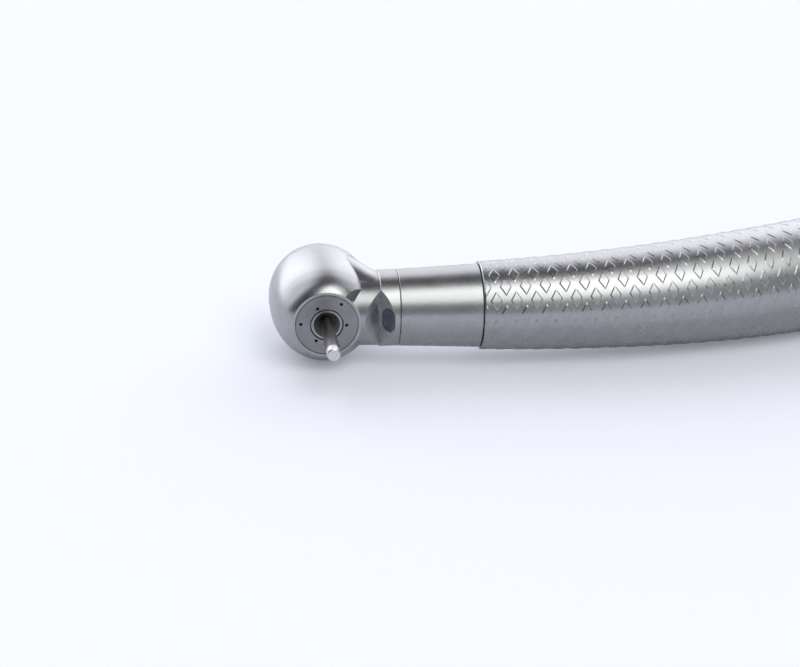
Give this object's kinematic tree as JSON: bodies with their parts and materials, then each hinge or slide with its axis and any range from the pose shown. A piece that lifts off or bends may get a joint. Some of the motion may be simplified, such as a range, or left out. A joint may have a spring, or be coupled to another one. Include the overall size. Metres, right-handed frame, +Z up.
{
  "type": "dental turbine handpiece",
  "caption": "Air-driven dental handpiece with a push-button chuck and bur blank, a lit neck, a bent patterned grip and a screw-on hose connector.",
  "frame": {"origin": "on the spindle's axis, in the plane of the head's front face", "axes": "-Y along the bur, out of the head; +X along the neck away from the head; +Z up, with the handpiece lying on its side"},
  "size_m": [0.1215, 0.0467, 0.0146],
  "materials": {
    "satin_chrome": "satin",
    "grip_chrome": "satin, diamond pattern",
    "cap_steel": "matte",
    "bur_steel": "fine turned",
    "window_glass": "smooth",
    "bearing_steel": "ground",
    "ball_ceramic": "polished ceramic",
    "cage_resin": "moulded",
    "seal_rubber": "smooth",
    "rotor_aluminium": "machined",
    "button_steel": "satin",
    "spring_steel": "drawn wire",
    "emitter_resin": "smooth",
    "board_resin": "smooth",
    "wire_sheath": "smooth",
    "tube_steel": "drawn",
    "holder_resin": "moulded",
    "bush_brass": "machined",
    "coil_copper": "enamelled wire",
    "magnet_black": "plain",
    "connector_steel": "machined"
  },
  "bodies": {
    "handpiece": {"head_housing": "satin_chrome", "spray_cap": "cap_steel", "light_window": "window_glass", "light_emitter": "emitter_resin", "light_board": "board_resin", "light_wires": "wire_sheath", "front_bearing_outer_ring": "bearing_steel", "front_bearing_o_ring": "seal_rubber", "rear_bearing_outer_ring": "bearing_steel", "rear_bearing_o_ring": "seal_rubber", "bearing_carrier": "rotor_aluminium", "carrier_o_ring": "seal_rubber", "preload_washer": "spring_steel", "rear_cap": "satin_chrome", "button_spring": "spring_steel", "neck_sleeve": "satin_chrome", "neck_o_ring": "seal_rubber", "grip_sleeve": "grip_chrome", "tube_holder": "holder_resin", "bulkhead": "holder_resin", "drive_air_tube": "tube_steel", "water_tube": "tube_steel", "chip_air_tube": "tube_steel", "generator_housing": "tube_steel", "generator_end_plate": "holder_resin", "generator_front_bush": "bush_brass", "generator_rear_bush": "bush_brass", "generator_coil": "coil_copper", "inlet_tube": "tube_steel", "rear_connector": "connector_steel", "connector_o_ring": "seal_rubber", "lock_ring": "satin_chrome"},
    "rotor": {"spindle": "bearing_steel", "chuck_collet": "bearing_steel", "impeller": "rotor_aluminium", "front_bearing_inner_ring": "bearing_steel", "rear_bearing_inner_ring": "bearing_steel"},
    "front_cage": {"front_bearing_balls": "ball_ceramic", "front_bearing_cage": "cage_resin"},
    "rear_cage": {"rear_bearing_balls": "ball_ceramic", "rear_bearing_cage": "cage_resin"},
    "bur": {"test_pin": "bur_steel"},
    "button": {"push_button": "button_steel"},
    "generator_rotor": {"generator_shaft": "bearing_steel", "generator_magnet": "magnet_black", "generator_fan": "holder_resin"}
  },
  "joints": [
    {"name": "rotor_spin", "type": "hinge", "parent": "handpiece", "child": "rotor", "pos_m": [0, 0, 0], "axis": [0, 1, 0], "continuous": true},
    {"name": "front_cage_spin", "type": "hinge", "parent": "handpiece", "child": "front_cage", "pos_m": [0, 0, 0], "axis": [0, 1, 0], "continuous": true},
    {"name": "rear_cage_spin", "type": "hinge", "parent": "handpiece", "child": "rear_cage", "pos_m": [0, 0, 0], "axis": [0, 1, 0], "continuous": true},
    {"name": "bur_slide", "type": "slide", "parent": "rotor", "child": "bur", "axis": [0, -1, 0], "range_m": [0, 0.0102]},
    {"name": "button_press", "type": "slide", "parent": "handpiece", "child": "button", "axis": [0, -1, 0], "range_m": [0, 0.0006], "stiffness_N_per_m": 1000, "springref_m": -0.0002, "deforming": ["button_spring"]},
    {"name": "generator_spin", "type": "hinge", "parent": "handpiece", "child": "generator_rotor", "pos_m": [0.06761, 0.0164, 0], "axis": [0.9272, 0.3746, 0], "continuous": true}
  ],
  "couplings": [
    {"joint": "front_cage_spin", "follows": "rotor_spin", "ratio": 0.395},
    {"joint": "rear_cage_spin", "follows": "rotor_spin", "ratio": 0.395}
  ]
}
